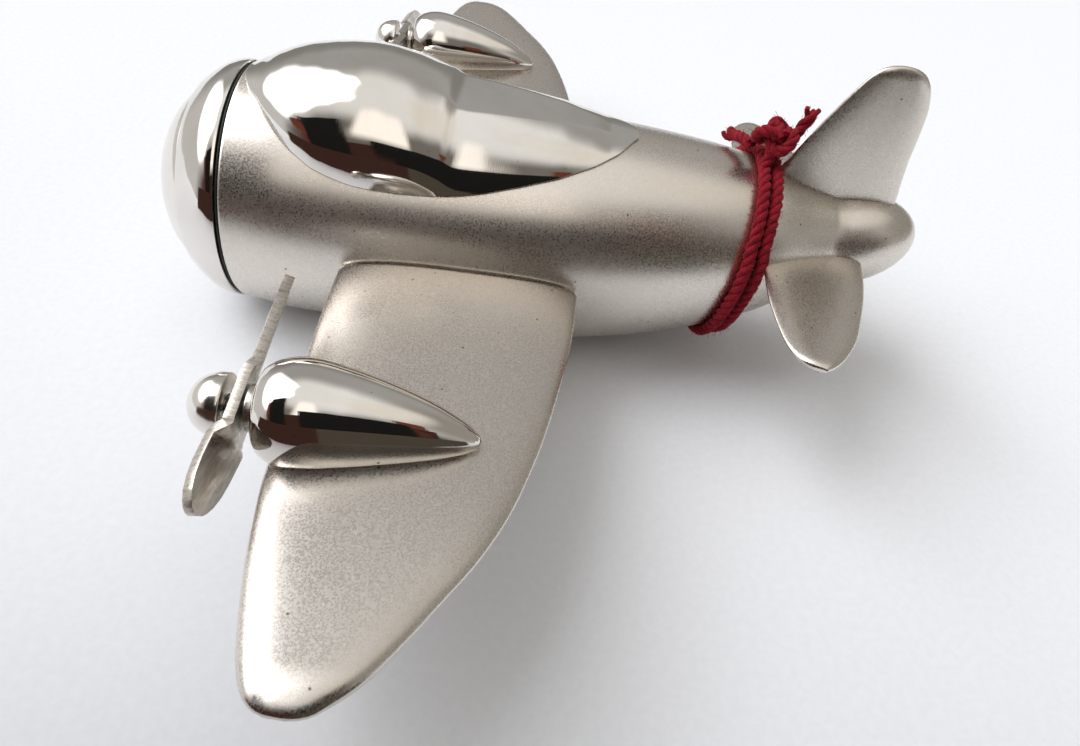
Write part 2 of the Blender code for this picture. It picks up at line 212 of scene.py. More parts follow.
def polished_nickel(name, haze=0.0, tone=1.0):
    """Buffed plate: nearly a mirror, with faint swirl scratches and handling haze."""
    made, graph, wire = finish(name)
    where = graph.place()
    cloud = graph.noise(where, 90, 4, 0.6, 0.4)
    specks = 1 - graph.cells(where, 420).rise(0.02, 0.05)
    swirl = graph.noise(graph.stretch(where, (1, 9, 1), (0.3, 0.2, 0.5)), 900, 3, 0.6)
    dull = graph.noise(where, 55, 3, 0.6, 0.6).rise(0.45, 0.75)
    warm, bright = (0.70, 0.668, 0.622), (0.77, 0.742, 0.705)
    colour = graph.mix(
        (*(min(c * tone, 1) for c in warm), 1),
        (*(min(c * tone, 1) for c in bright), 1),
        cloud.rise(0.3, 0.7),
    )
    colour = graph.mix(colour, (0.2, 0.17, 0.14, 1), specks * 0.55)
    wire(
        Base_Color=colour,
        Metallic=1.0,
        Roughness=0.035 + haze + 0.05 * dull + 0.025 * swirl.rise(0.4, 0.7),
        Normal=graph.bump(swirl * 0.5 + cloud * 1.5, 0.00001, 0.5),
    )
    return made


def sheet_face():
    """Rolled sheet of a propeller's faces: brushed along the blade, with grey handling marks."""
    made, graph, wire = finish("rolled_sheet_face")
    where = graph.place()
    brushed = graph.noise(graph.stretch(where, (0.12, 1, 1)), 3000, 3, 0.6)
    marks = graph.noise(where, 420, 4, 0.65, 0.8)
    colour = graph.mix((0.50, 0.46, 0.41, 1), (0.68, 0.64, 0.58, 1), brushed.rise(0.3, 0.7))
    colour = graph.mix(colour, (0.22, 0.19, 0.16, 1), marks.rise(0.6, 0.78) * 0.5)
    wire(
        Base_Color=colour,
        Metallic=1.0,
        Roughness=0.26 + 0.14 * marks.rise(0.35, 0.7),
        Normal=graph.bump(brushed + marks * 0.6, 0.00002, 0.5),
    )
    return made


def sheared_edge():
    """Cut edge of the sheet: upright shear marks, torn and shiny by turns."""
    made, graph, wire = finish("sheared_sheet_edge")
    where = graph.place()
    lines = graph.noise(graph.stretch(where, (1, 0.05, 0.05)), 4200, 4, 0.7)
    torn = graph.noise(where, 1500, 4, 0.7)
    dark = (lines.rise(0.42, 0.68) * 0.55 + torn.rise(0.5, 0.72) * 0.45) * 0.85
    colour = graph.mix((0.60, 0.555, 0.50, 1), (0.20, 0.16, 0.13, 1), dark)
    wire(
        Base_Color=colour,
        Metallic=1.0,
        Roughness=0.22 + 0.22 * torn.rise(0.3, 0.7),
        Normal=graph.bump(lines + torn * 0.6, 0.00003, 0.6),
    )
    return made


def screw_steel():
    """Turned steel: fine rings from the tool, with grime between them."""
    made, graph, wire = finish("turned_screw_steel")
    where = graph.place()
    rings = graph.noise(graph.stretch(where, (0.2, 1, 0.2)), 5200, 3, 0.5)
    grime = graph.noise(where, 700, 3, 0.6).rise(0.5, 0.75)
    colour = graph.mix((0.62, 0.60, 0.56, 1), (0.18, 0.16, 0.14, 1), grime * 0.6)
    wire(
        Base_Color=colour,
        Metallic=1.0,
        Roughness=0.22 + 0.2 * grime,
        Normal=graph.bump(rings, 0.00003, 0.6),
    )
    return made


def black_gasket():
    """Dull black seam, with a little grey dust."""
    made, graph, wire = finish("black_seam_gasket")
    where = graph.place()
    dust = graph.noise(where, 1600, 4, 0.6)
    colour = graph.mix((0.010, 0.016, 0.012, 1), (0.05, 0.06, 0.05, 1), dust.rise(0.5, 0.75))
    wire(Base_Color=colour, Roughness=0.5 + 0.2 * dust, Normal=graph.bump(dust, 0.00004, 0.5))
    return made


def red_wool(name, dark, light):
    """Twisted wool: fine fibres along each ply, with painted shade darkening the grooves."""
    made, graph, wire = finish(name)
    where = graph.place()
    fibres = graph.noise(where, 5200, 4, 0.7)
    patches = graph.noise(where, 700, 3, 0.55)
    # painted shade: colour darker where the fibre and patch noise sinks the bump
    colour = graph.mix(dark, light, fibres.rise(0.36, 0.68) * 0.65 + patches.rise(0.3, 0.75) * 0.35)
    wire(
        Base_Color=colour,
        Roughness=0.86,
        Sheen_Weight=0.18,
        Sheen_Roughness=0.45,
        Sheen_Tint=(0.9, 0.25, 0.25, 1),
        Specular_IOR_Level=0.2,
        Normal=graph.bump(fibres + patches * 0.5, 0.00012, 0.9),
    )
    return made


def plain_paper():
    """White paper with a slight tooth."""
    made, graph, wire = finish("plain_white_paper")
    tooth = graph.noise(graph.place(), 900, 4, 0.6)
    wire(
        Base_Color=graph.mix((0.83, 0.85, 0.885, 1), (0.86, 0.88, 0.91, 1), tooth.rise(0.3, 0.7)),
        Roughness=0.75,
        Specular_IOR_Level=0.25,
        Normal=graph.bump(tooth, 0.00002, 0.3),
    )
    return made


# ---------------------------------------------------------------- shapes


def new_piece(name, bm, looks, smooth=40.0, body="airframe"):
    """Ends the bmesh and makes it an object that rides on a body. Edges sharper than smooth
    degrees stay sharp."""
    mesh = bpy.data.meshes.new(name)
    bm.to_mesh(mesh)
    bm.free()
    for look in looks if isinstance(looks, (list, tuple)) else [looks]:
        mesh.materials.append(look)
    mesh.shade_smooth()
    if smooth:
        mesh.set_sharp_from_angle(angle=math.radians(smooth))
    piece = bpy.data.objects.new(name, mesh)
    bpy.context.scene.collection.objects.link(piece)
    if body:
        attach(piece, body)
    return piece


def spun(points, centre, steps):
    """A bmesh of the line of points, spun round the Y line through centre."""
    bm = bmesh.new()
    verts = [bm.verts.new(point) for point in points]
    edges = [bm.edges.new(pair) for pair in zip(verts, verts[1:])]
    bmesh.ops.spin(
        bm,
        geom=verts + edges,
        cent=centre,
        axis=(0, 1, 0),
        angle=2 * math.pi,
        steps=steps,
        use_merge=True,
    )
    bmesh.ops.remove_doubles(bm, verts=bm.verts, dist=0.002 * MM)
    return bm


def turned(name, profile, looks, centre, steps=96, smooth=35.0, node=None):
    """A turned piece from a (Y, radius) profile. First and last radius may be 0, which
    closes that end."""
    bm = spun([(centre.x, y, centre.z + r) for y, r in profile], centre, steps)
    bmesh.ops.recalc_face_normals(bm, faces=bm.faces)
    piece = new_piece(name, bm, looks, smooth)
    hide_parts(node or name)
    return piece


def middle(node):
    """The middle of a node's box."""
    low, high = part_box(node)
    return (Vector(low) + Vector(high)) / 2


def rounded(corners, radius, points=5):
    """A profile of (Y, radius) corners with each inner corner rounded by an arc-like curve."""
    done = [corners[0]]
    for before, here, after in zip(corners, corners[1:], corners[2:]):
        here = Vector(here)
        back, on = Vector(before) - here, Vector(after) - here
        reach = min(radius, back.length * 0.45, on.length * 0.45)
        start, end = here + back.normalized() * reach, here + on.normalized() * reach
        for i in range(points):
            t = i / (points - 1)
            done.append(tuple(start * (1 - t) ** 2 + here * 2 * t * (1 - t) + end * t**2))
    done.append(corners[-1])
    return done


def curve_through(points, steps):
    """Smooth (Catmull-Rom) points through a short profile."""
    line = []
    ends = [points[0], *points, points[-1]]
    for a, b, c, d in zip(ends, ends[1:], ends[2:], ends[3:]):
        a, b, c, d = map(Vector, (a, b, c, d))
        for i in range(steps):
            t = i / steps
            turn_in = 2 * b + (c - a) * t
            turn_out = (2 * a - 5 * b + 4 * c - d) * t**2 + (3 * b - a - 3 * c + d) * t**3
            line.append(tuple(0.5 * (turn_in + turn_out)))
    line.append(tuple(points[-1]))
    return line


def smooth_step(t):
    """0 below 0, 1 above 1, smooth between."""
    t = min(max(t, 0.0), 1.0)
    return t * t * (3 - 2 * t)


# ---------------------------------------------------------------- castings
# Every table is in millimetres. Lengths run back from the nose seam, and heights are measured
# from the drawing's datum, which stands 18.3 above the floor.

HULL = (
    # behind the nose seam, radius, height of the middle line
    (0.0, 17.3, 0.25),
    (7.65, 17.8, -0.45),
    (15.3, 17.8, -0.99),
    (22.95, 17.6, -1.22),
    (30.6, 17.5, -1.30),
    (38.25, 17.45, -1.22),
    (45.9, 17.2, -0.98),
    (53.55, 16.5, -0.56),
    (61.2, 15.4, 0.02),
    (68.85, 13.85, 0.77),
    (76.5, 11.6, 1.67),
    (82.0, 9.25, 2.45),
    (86.7, 7.4, 3.2),
)
HULL_END = 99.8
WING_LEAD = (
    # out from the middle, front edge behind the nose seam
    (13.0, 16.2),
    (28.2, 16.4),
    (36.9, 16.7),
    (56.9, 17.4),
    (61.9, 18.0),
    (66.5, 18.7),
    (71.7, 19.8),
    (76.3, 21.0),
    (78.9, 22.1),
    (80.2, 23.2),
    (80.9, 24.7),
    (81.05, 26.4),
)
WING_TRAIL = (
    # out from the middle, rear edge behind the nose seam
    (13.0, 49.6),
    (26.5, 48.8),
    (38.6, 47.2),
    (45.9, 45.9),
    (51.9, 44.5),
    (57.7, 42.8),
    (63.6, 40.3),
    (69.2, 37.1),
    (73.9, 34.3),
    (77.6, 31.7),
    (79.5, 29.7),
    (80.7, 28.0),
    (81.05, 26.4),
)
WING_Z, WING_RISE, WING_THICK = -1.28, 0.044, (3.9, 2.8)  # at its root and at its tip
STAB_LEAD = (
    (3.0, 76.4),
    (13.0, 75.2),
    (19.5, 74.8),
    (24.2, 75.0),
    (28.0, 75.4),
    (30.6, 76.1),
    (31.9, 77.0),
    (32.8, 78.2),
    (33.3, 79.8),
)
STAB_TRAIL = (
    (3.0, 91.5),
    (8.5, 90.5),
    (13.6, 89.5),
    (21.7, 87.0),
    (26.4, 85.2),
    (30.6, 82.7),
    (32.5, 81.0),
    (33.3, 79.8),
)
STAB_Z, STAB_RISE, STAB_THICK = 3.7, 0.03, (2.0, 1.4)
FIN_LEAD = (
    (4.0, 71.6),
    (14.2, 76.6),
    (28.3, 83.9),
    (29.4, 84.8),
    (30.2, 86.2),
    (30.5, 87.9),
)
FIN_TRAIL = (
    (4.0, 95.8),
    (10.5, 95.0),
    (16.5, 94.2),
    (24.1, 93.7),
    (27.5, 92.8),
    (29.4, 91.5),
    (30.3, 89.8),
    (30.5, 87.9),
)
FIN_THICK = (2.2, 1.5)
DATUM = 18.3
SEAM_INSET = 0.12  # the seam ring's rear face stands this far ahead of the casting
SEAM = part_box("nose_gasket")[1].y + SEAM_INSET * MM


def placed(x, back, high):
    """A drawing point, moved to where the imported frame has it."""
    return Vector((x * MM, SEAM + back * MM, (high + DATUM) * MM))


def along(table, at, column=1):
    """Smooth value of one column of a table at a station (Hermite with limited slopes)."""
    xs = [row[0] for row in table]
    ys = [row[column] for row in table]
    if at <= xs[0]:
        return ys[0]
    if at >= xs[-1]:
        return ys[-1]
    rise = [(ys[i + 1] - ys[i]) / (xs[i + 1] - xs[i]) for i in range(len(xs) - 1)]
    slope = [rise[0]]
    for before, after in zip(rise, rise[1:]):
        slope.append(0.0 if before * after <= 0 else 2 * before * after / (before + after))
    slope.append(rise[-1])
    i = bisect.bisect_right(xs, at) - 1
    width = xs[i + 1] - xs[i]
    t = (at - xs[i]) / width
    return (
        (2 * t**3 - 3 * t**2 + 1) * ys[i]
        + (t**3 - 2 * t**2 + t) * width * slope[i]
        + (3 * t**2 - 2 * t**3) * ys[i + 1]
        + (t**3 - t**2) * width * slope[i + 1]
    )


def hull_at(back):
    """Radius and middle height of the hull, which closes in a rounded tail."""
    last = HULL[-1][0]
    radius, high = along(HULL, back, 1), along(HULL, back, 2)
    if back > last:
        t = min((back - last) / (HULL_END - last), 1.0)
        radius *= max(1 - t**2.2, 0.0) ** 0.5
        high += 0.17 * (back - last)
    return radius, high


def fuselage(look):
    """Hull turned as one skin, then bent along its middle line, with the flat under its belly."""
    line = [(0.02, 14.45), (0.02, 17.12), (0.05, 17.22), (0.13, 17.28), (0.4, 17.31)]
    back = 1.0
    while back < HULL_END - 0.02:
        line.append((back, hull_at(back)[0]))
        back += 0.9 if back < 86 else max(0.05, 0.12 * (HULL_END - back))
    line.append((HULL_END, 0.0))
    bm = spun([placed(0, y, r) for y, r in line], placed(0, 0, 0), 160)
    for vert in bm.verts:
        vert.co.z += hull_at((vert.co.y - SEAM) / MM)[1] * MM
        vert.co.z = max(vert.co.z, 0.0)
    bmesh.ops.recalc_face_normals(bm, faces=bm.faces)
    piece = new_piece("fuselage_skin", bm, look, 40)
    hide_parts("fuselage_shell")


ROOT_RIM, ROOT_CORNER = 0.5, 1.2  # rounding of a root's edge, and of its corners in plan
TIP_SHARE = 0.055  # the outer share of a span over which a plate thins to nothing


def quarter(t):
    """Height of a quarter circle at t of its way in, from 0 at its foot to 1."""
    return math.sqrt(max(1 - (1 - t) ** 2, 0.0))


def plate(name, node, edges, thick, to_point, look, root=None):
    """A cast surface with rounded edges. root(chord) is where its inner end meets the hull."""
    lead, trail = edges
    start, tip = lead[0][0], lead[-1][0]
    bm = bmesh.new()
    bmesh.ops.create_grid(bm, x_segments=96, y_segments=72, size=0.5)
    for vert in bm.verts:
        u, v = vert.co.x + 0.5, vert.co.y + 0.5
        u -= 0.10 * math.sin(2 * math.pi * u)  # more rows near both ends
        c, s = math.cos(2 * math.pi * v), math.sin(2 * math.pi * v)
        c = math.copysign(abs(c) ** 0.75, c)
        span = start + (tip - start) * u
        inset = None
        if root is not None:
            front, back = along(lead, span), along(trail, span)
            inner = root((front + back) / 2 + (back - front) / 2 * c)
            span = inner + (tip - inner) * u
            inset = span - inner
        front, back = along(lead, span), along(trail, span)
        body = thick[0] + (thick[1] - thick[0]) * (span - start) / (tip - start)
        body *= quarter(min((tip - span) / (TIP_SHARE * tip), 1.0))
        cut = 0.0
        if inset is not None:
            if inset < ROOT_RIM:
                body *= quarter(inset / ROOT_RIM) * 0.35 + 0.65
            if inset < 1e-4:
                body = 0.0
            if inset < ROOT_CORNER:
                cut = ROOT_CORNER * (1 - quarter(inset / ROOT_CORNER))
        half = max((back - front) / 2 - cut, 0.0)
        high = math.copysign(max(1 - abs(c) ** 3, 0.0) ** 0.55, s) * body / 2
        vert.co = placed(*to_point(span, (front + back) / 2 + half * c, high))
    bmesh.ops.remove_doubles(bm, verts=bm.verts, dist=0.004 * MM)
    bmesh.ops.holes_fill(bm, edges=[e for e in bm.edges if e.is_boundary], sides=0)
    bmesh.ops.recalc_face_normals(bm, faces=bm.faces)
    piece = new_piece(name, bm, look, 50)
    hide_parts(node)


def wings_and_tail(satin_wing, satin_fin):
    """Both wings, both stabilizers and the fin."""
    for word, side in SIDES.items():

        def on_wing(span, chord, high, side=side):
            return side * span, chord, WING_Z + WING_RISE * span + high

        def on_stabilizer(span, chord, high, side=side):
            return side * span, chord, STAB_Z + STAB_RISE * span + high

        def at_hull(chord):
            return hull_at(chord)[0] + 0.06

        wing, stabilizer = (WING_LEAD, WING_TRAIL), (STAB_LEAD, STAB_TRAIL)
        name = "wing_plate_" + word
        plate(name, "wing_" + word, wing, WING_THICK, on_wing, satin_wing, at_hull)
        name, node = "stabilizer_plate_" + word, "stabilizer_" + word
        plate(name, node, stabilizer, STAB_THICK, on_stabilizer, satin_wing)

    def on_fin(span, chord, high):
        return high, chord, span

    plate("fin_plate", "fin", (FIN_LEAD, FIN_TRAIL), FIN_THICK, on_fin, satin_fin)


CANOPY_LINE = (
    # behind the nose seam, half angle round the hull, height of the top, half width of its flat
    (0.75, 5.0, 18.0, 0.0),
    (1.6, 14.9, 18.5, 0.0),
    (3.1, 20.3, 19.15, 0.0),
    (4.2, 26.4, 19.85, 0.0),
    (6.5, 34.6, 20.85, 0.0),
    (8.6, 40.5, 21.55, 0.0),
    (11.8, 46.7, 22.25, 0.0),
    (14.5, 49.4, 22.65, 0.0),
    (17.4, 51.3, 22.85, 0.0),
    (20.0, 51.7, 22.7, 0.4),
    (23.8, 51.7, 21.95, 1.6),
    (27.0, 50.9, 20.9, 3.0),
    (28.6, 50.4, 20.2, 4.2),
    (29.4, 50.1, 19.4, 5.0),
    (30.0, 49.9, 18.95, 5.3),
    (31.4, 49.2, 18.75, 5.3),
    (34.5, 47.0, 18.65, 4.9),
    (39.5, 41.9, 18.3, 4.1),
    (44.8, 35.7, 17.8, 3.1),
    (49.5, 27.4, 16.9, 1.9),
    (52.7, 18.3, 16.0, 0.8),
    (54.6, 8.0, 15.5, 0.3),
    (55.3, 3.0, 15.3, 0.1),
)


CANOPY_RIM, CANOPY_GAP = 0.3, 0.04  # its rim's height, and its clearance over the hull
CANOPY_START, CANOPY_LENGTH = 0.75, 54.55
SPINE_START, SPINE_EASE = 24.5, 7.0  # where the bubble starts to turn into the spine
SPINE_TOP = 0.25  # the share of half a section that is the spine's flat top


def read_line(table, at, column):
    """One column of a table, read straight between its rows."""
    for low, high in zip(table, table[1:]):
        if at <= high[0]:
            t = max(at - low[0], 0) / (high[0] - low[0])
            return low[column] + (high[column] - low[column]) * t
    return table[-1][column]


def smooth_line(table, at, column, reach=1.1):
    """The table read with its corners eased, so that a mirror finish shows no bends."""
    steps = [read_line(table, at + reach * k / 4, column) for k in range(-4, 5)]
    weights = [5 - abs(k) for k in range(-4, 5)]
    return sum(a * b for a, b in zip(steps, weights)) / sum(weights)


def canopy_point(back, t):
    """Half width and height of the canopy's skin, t of the way from its top to its foot."""
    radius, centre = hull_at(back)
    centre += DATUM
    rim = radius + CANOPY_GAP + CANOPY_RIM
    reach = 0.35 if 27 < back < 32 else 0.9  # the small step behind the bubble stays firm
    angle = math.radians(smooth_line(CANOPY_LINE, back, 1))
    top = max(smooth_line(CANOPY_LINE, back, 2, reach) + DATUM, centre + rim)
    foot_x, foot_z = rim * math.sin(angle), centre + rim * math.cos(angle)
    flat = min(smooth_line(CANOPY_LINE, back, 3, reach), 0.6 * foot_x)
    turn = t * math.pi / 2
    bubble_x, bubble_z = foot_x * math.sin(turn), foot_z + (top - foot_z) * math.cos(turn)
    if t < SPINE_TOP:
        spine_x, spine_z = flat * t / SPINE_TOP, top
    else:
        w = (t - SPINE_TOP) / (1 - SPINE_TOP)
        edge = math.atan2(flat, top - centre)
        around = edge + (angle - edge) * w
        out = rim + (math.hypot(flat, top - centre) - rim) * (1 - w) ** 1.4
        bend = w * math.pi / 2
        full_x = flat + (foot_x - flat) * math.sin(bend)
        full_z = foot_z + (top - foot_z) * math.cos(bend)
        spine_x = 0.6 * out * math.sin(around) + 0.4 * full_x
        spine_z = 0.6 * (centre + out * math.cos(around)) + 0.4 * full_z
    blend = smooth_step((back - SPINE_START) / SPINE_EASE)
    return bubble_x + (spine_x - bubble_x) * blend, bubble_z + (spine_z - bubble_z) * blend


def canopy(look):
    """Bubble that eases into a flat-topped spine with firm edges."""
    bm = bmesh.new()
    bmesh.ops.create_grid(bm, x_segments=180, y_segments=64, size=0.5)
    for vert in bm.verts:
        u, v = vert.co.x + 0.5, vert.co.y * 2
        back = CANOPY_START + CANOPY_LENGTH * (u - 0.045 * math.sin(2 * math.pi * u))
        x, z = canopy_point(back, abs(v))
        vert.co = Vector((math.copysign(x, v) * MM, SEAM + back * MM, z * MM))
    rims = [edge for edge in bm.edges if edge.is_boundary]
    for vert in bmesh.ops.extrude_edge_only(bm, edges=rims)["geom"]:
        if isinstance(vert, bmesh.types.BMVert):  # a short skirt, down to the hull all round
            centre = (hull_at((vert.co.y - SEAM) / MM)[1] + DATUM) * MM
            away = Vector((vert.co.x, 0, vert.co.z - centre))
            vert.co -= away.normalized() * 0.28 * MM
    bmesh.ops.recalc_face_normals(bm, faces=bm.faces)
    top = max(bm.faces, key=lambda face: face.calc_center_median().z)
    if top.normal.z < 0:
        bmesh.ops.reverse_faces(bm, faces=bm.faces)
    piece = new_piece("canopy_polished", bm, look, 21)
    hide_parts("canopy")


# ---------------------------------------------------------------- nose and engines

NOSE_RING = (
    # behind the nose seam (negative is ahead), radius
    (2.9, 14.35),
    (-0.1, 14.35),
    (-0.5, 14.75),
    (-0.5, 17.1),
    (-0.62, 17.36),
    (-1.1, 17.42),
    (-1.9, 17.33),
    (-3.1, 16.95),
    (-4.4, 16.2),
    (-5.5, 15.35),
    (-6.4, 14.55),
    (-6.8, 14.1),
    (-6.86, 13.8),
    (-6.6, 13.55),
)
NOSE_DOME = (
    (-6.6, 13.2),
    (-6.95, 13.15),
    (-7.5, 12.92),
    (-8.2, 12.35),
    (-9.15, 11.35),
    (-10.1, 10.05),
    (-11.1, 8.25),
    (-11.95, 6.15),
    (-12.6, 3.7),
    (-12.85, 1.9),
    (-12.9, 0.0),
)


def nose(mirror, pale, gasket):
    """Nose ring with its rounded shoulder, the dome set flush in it, and the dark seam."""

    def from_seam(*points):
        return [(SEAM + y * MM, r * MM) for y, r in points]

    centre = middle("nose_gasket")
    ring = from_seam(*NOSE_RING)
    line = ring[:4] + curve_through(ring[4:], 5)
    line += from_seam((-6.2, 13.5), (-5.0, 13.5), (-4.6, 12.98), (2.9, 12.98))
    turned("nose_ring_polished", line + [line[0]], mirror, centre, 128, node="nose_ring")
    line = from_seam((-2.5, 0.0), (-2.5, 12.6), (-4.95, 12.6), (-5.3, 13.18))
    line += curve_through(from_seam(*NOSE_DOME), 6)
    turned("nose_dome_polished", line, pale, centre, 128, node="nose_dome")
    low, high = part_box("nose_gasket")
    outside = (high.x - low.x) / 2
    inside = outside - 2.2 * MM
    ring = [(low.y, inside), (low.y, outside), (high.y, outside), (high.y, inside)]
    corners = rounded(ring + [ring[0]], 0.1 * MM)
    turned("nose_seam_ring", corners, gasket, centre, 96, node="nose_gasket")


POD = (
    # behind the pod's front, radius, fall of its centre line
    (0.0, 3.6, 0.0),
    (0.05, 4.0, 0.0),
    (0.15, 4.3, 0.0),
    (0.4, 4.68, 0.0),
    (0.8, 5.02, 0.0),
    (1.6, 5.5, 0.0),
    (3.0, 5.95, 0.0),
    (4.7, 6.1, 0.0),
    (6.7, 5.95, 0.03),
    (8.6, 5.6, 0.06),
    (10.6, 5.2, 0.1),
    (14.6, 4.2, 0.25),
    (18.4, 3.05, 0.55),
    (21.2, 1.9, 0.9),
    (22.4, 1.2, 1.03),
    (22.8, 0.9, 1.1),
    (23.15, 0.5, 1.14),
    (23.3, 0.0, 1.15),
)


HEAD = (
    # share of the screw head's length, share of its radius
    (0.0, 0.0),
    (0.02, 0.2),
    (0.09, 0.44),
    (0.23, 0.69),
    (0.45, 0.88),
    (0.7, 0.98),
    (0.9, 1.0),
)
SHAFT_HOLE = 1.45  # radius of the hole in a pod's front
THREAD_CORE, THREAD_PITCH = 0.86, 0.42


def engine_pod(word, shaft, look):
    """A drop-shaped pod whose tail sinks towards the wing."""
    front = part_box("nacelle_" + word)[0].y
    line = [(front + 4 * MM, 0.0)]
    line += [(front + 4 * MM, SHAFT_HOLE * MM), (front, SHAFT_HOLE * MM)]
    line += curve_through([(front + y * MM, r * MM) for y, r, _ in POD], 4)
    bm = spun([(shaft.x, y, shaft.z + r) for y, r in line], shaft, 96)
    fall = curve_through([(y, z) for y, _, z in POD], 4)
    for vert in bm.verts:
        back = (vert.co.y - front) / MM
        for (y0, z0), (y1, z1) in zip(fall, fall[1:]):
            if y0 <= back <= y1 and y1 > y0:
                vert.co.z -= (z0 + (z1 - z0) * (back - y0) / (y1 - y0)) * MM
                break
    bmesh.ops.recalc_face_normals(bm, faces=bm.faces)
    pod = new_piece("engine_pod_" + word, bm, look, 40)
    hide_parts("nacelle_" + word)


def engine(word, side, looks):
    """Engine pod, screw with its round head, washer and the twisted sheet propeller."""
    mirror, pale, steel, face, edge = looks
    shaft = middle("shaft_" + word)
    engine_pod(word, shaft, mirror)

    low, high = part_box("spinner_" + word)
    reach, tip, back = (high.x - low.x) / 2, low.y, high.y
    line = curve_through([(tip + u * (back - tip), v * reach) for u, v in HEAD], 6)
    neck, inside = 1.25 * MM, back - 1.9 * MM
    line += rounded([line[-1], (back, reach), (back, neck), (inside, neck)], 0.25 * MM)[1:]
    line.append((inside, 0.0))
    turned("screw_head_" + word, line, pale, shaft, 72, node="spinner_" + word)

    low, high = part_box("shaft_" + word)
    core, crest, pitch = THREAD_CORE * MM, (high.x - low.x) / 2, THREAD_PITCH * MM
    line = [(low.y, 0.0), (low.y, core)]
    for i in range(int((high.y - low.y) / pitch) - 1):
        y = low.y + 0.2 * MM + i * pitch
        line += [(y, core), (y + 0.16 * MM, crest), (y + 0.26 * MM, crest)]
    line += [(high.y, core), (high.y, 0.0)]
    turned("screw_shank_" + word, line, steel, shaft, 40, 20, node="shaft_" + word)

    low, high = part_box("washer_" + word)
    bore, outside = 1.42 * MM, (high.x - low.x) / 2
    ring = [(low.y, bore), (low.y, outside), (high.y, outside), (high.y, bore)]
    line = rounded(ring + [ring[0]], 0.18 * MM)
    turned("washer_ring_" + word, line, steel, shaft, 56, node="washer_" + word)

    propeller(word, side, shaft, face, edge)


BLADE = (
    # along the strip from its middle, width
    (0.0, 5.0),
    (4.2, 5.0),
    (5.8, 4.95),
    (7.6, 4.95),
    (9.6, 4.9),
    (11.4, 4.75),
    (13.0, 4.3),
    (14.4, 3.5),
    (15.3, 2.5),
    (15.8, 1.7),
    (16.1, 0.6),
)
STRIP_HALF, STRIP_SHIFT, STRIP_THICK = 16.1, 3.2, 1.15
HUB_HOLE, HUB_RING = 1.22, 2.1  # radius of the screw hole, and of the metal that it moves
HUB_FLAT, HUB_TWIST = 3.4, 1.6  # the flat's half length, and how far the twist takes to build
BLADE_PITCH, BLADE_RAKE, STRIP_TURN = math.radians(22), -0.10, math.radians(7.7)


def propeller(word, side, shaft, face, edge):
    """Stamped strip: a flat hub, a crease each side of it, and blades twisted opposite ways."""
    node = "propeller_" + word
    hub = Vector((shaft.x, strip_plane(node, shaft), shaft.z))
    bm = bmesh.new()
    bmesh.ops.create_grid(bm, x_segments=170, y_segments=20, size=0.5)
    turn = Matrix.Rotation(side * STRIP_TURN, 4, "Y")
    for vert in bm.verts:
        u, v = vert.co.x * 2, vert.co.y * 2
        far = STRIP_HALF * (1 - (1 - abs(u)) ** 1.35)
        width = read_line(BLADE, far, 1)
        vert.co = Vector((math.copysign(far, u) - STRIP_SHIFT, 0.0, v * width / 2))
        reach = vert.co.length
        if reach < HUB_RING:  # opens the screw hole: points near it are pushed out
            pushed = HUB_HOLE + (reach / HUB_RING) * (HUB_RING - HUB_HOLE)
            vert.co = vert.co.normalized() * pushed if reach > 1e-6 else Vector((HUB_HOLE, 0, 0))
    inside = [f for f in bm.faces if f.calc_center_median().length < HUB_HOLE * 0.985]
    bmesh.ops.delete(bm, geom=inside, context="FACES")
    for vert in bm.verts:
        out, rise = vert.co.x, vert.co.z
        ease = min(max((abs(out) - HUB_FLAT) / HUB_TWIST, 0.0), 1.0)
        pitch = math.copysign(BLADE_PITCH, out) * side * smooth_step(ease)
        lean = BLADE_RAKE * max(out - HUB_FLAT, 0.0)
        crease = 0.12 * math.exp(-(((abs(out) - HUB_FLAT - 0.1) / 0.3) ** 2))
        cup = 0.25 * (rise / 2.7) ** 2 * ease
        y = lean - math.sin(pitch) * rise + crease - cup
        vert.co = turn @ Vector((out, y, math.cos(pitch) * rise)) * MM + hub
    bmesh.ops.recalc_face_normals(bm, faces=bm.faces)
    piece = new_piece("propeller_sheet_" + word, bm, [face, edge], None, node)
    solid = piece.modifiers.new("sheet_thickness", "SOLIDIFY")
    solid.thickness = STRIP_THICK * MM
    solid.offset = 0.0
    solid.use_even_offset = True
    solid.material_offset_rim = 1
    soft = piece.modifiers.new("worn_corners", "BEVEL")
    soft.width = 0.08 * MM
    soft.segments = 2
    soft.limit_method = "ANGLE"
    soft.angle_limit = math.radians(50)
    piece.data.set_sharp_from_angle(angle=math.radians(50))
    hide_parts(node)


def strip_plane(node, shaft):
    """Y of the strip's middle plane, read off the flat hub round its screw."""
    near = [
        vert.co.y
        for vert in NODES[node].data.vertices
        if math.hypot(vert.co.x - shaft.x, vert.co.z - shaft.z) < 1.4 * MM
    ]
    return (min(near) + max(near)) / 2


# ---------------------------------------------------------------- yarn

YARN_RADIUS, PLY_LAY = 0.9, 4.2  # the lay is the length of one turn of the plies


def loop_line(node, bins=72):
    """Centre line of a closed CAD strand, found from its own points."""
    centre = middle(node)
    sums = [[Vector((0, 0, 0)), 0] for _ in range(bins)]
    for vert in NODES[node].data.vertices:
        turn = math.atan2(vert.co.x - centre.x, vert.co.z - centre.z) % (2 * math.pi)
        slot = sums[int(turn / (2 * math.pi) * bins) % bins]
        slot[0] += vert.co
        slot[1] += 1
    points = [total / count for total, count in sums if count]
    smooth = []
    for i in range(len(points)):
        around = [points[(i + k) % len(points)] for k in (-2, -1, 0, 1, 2)]
        smooth.append(sum(around, Vector((0, 0, 0))) / 5)
    return smooth


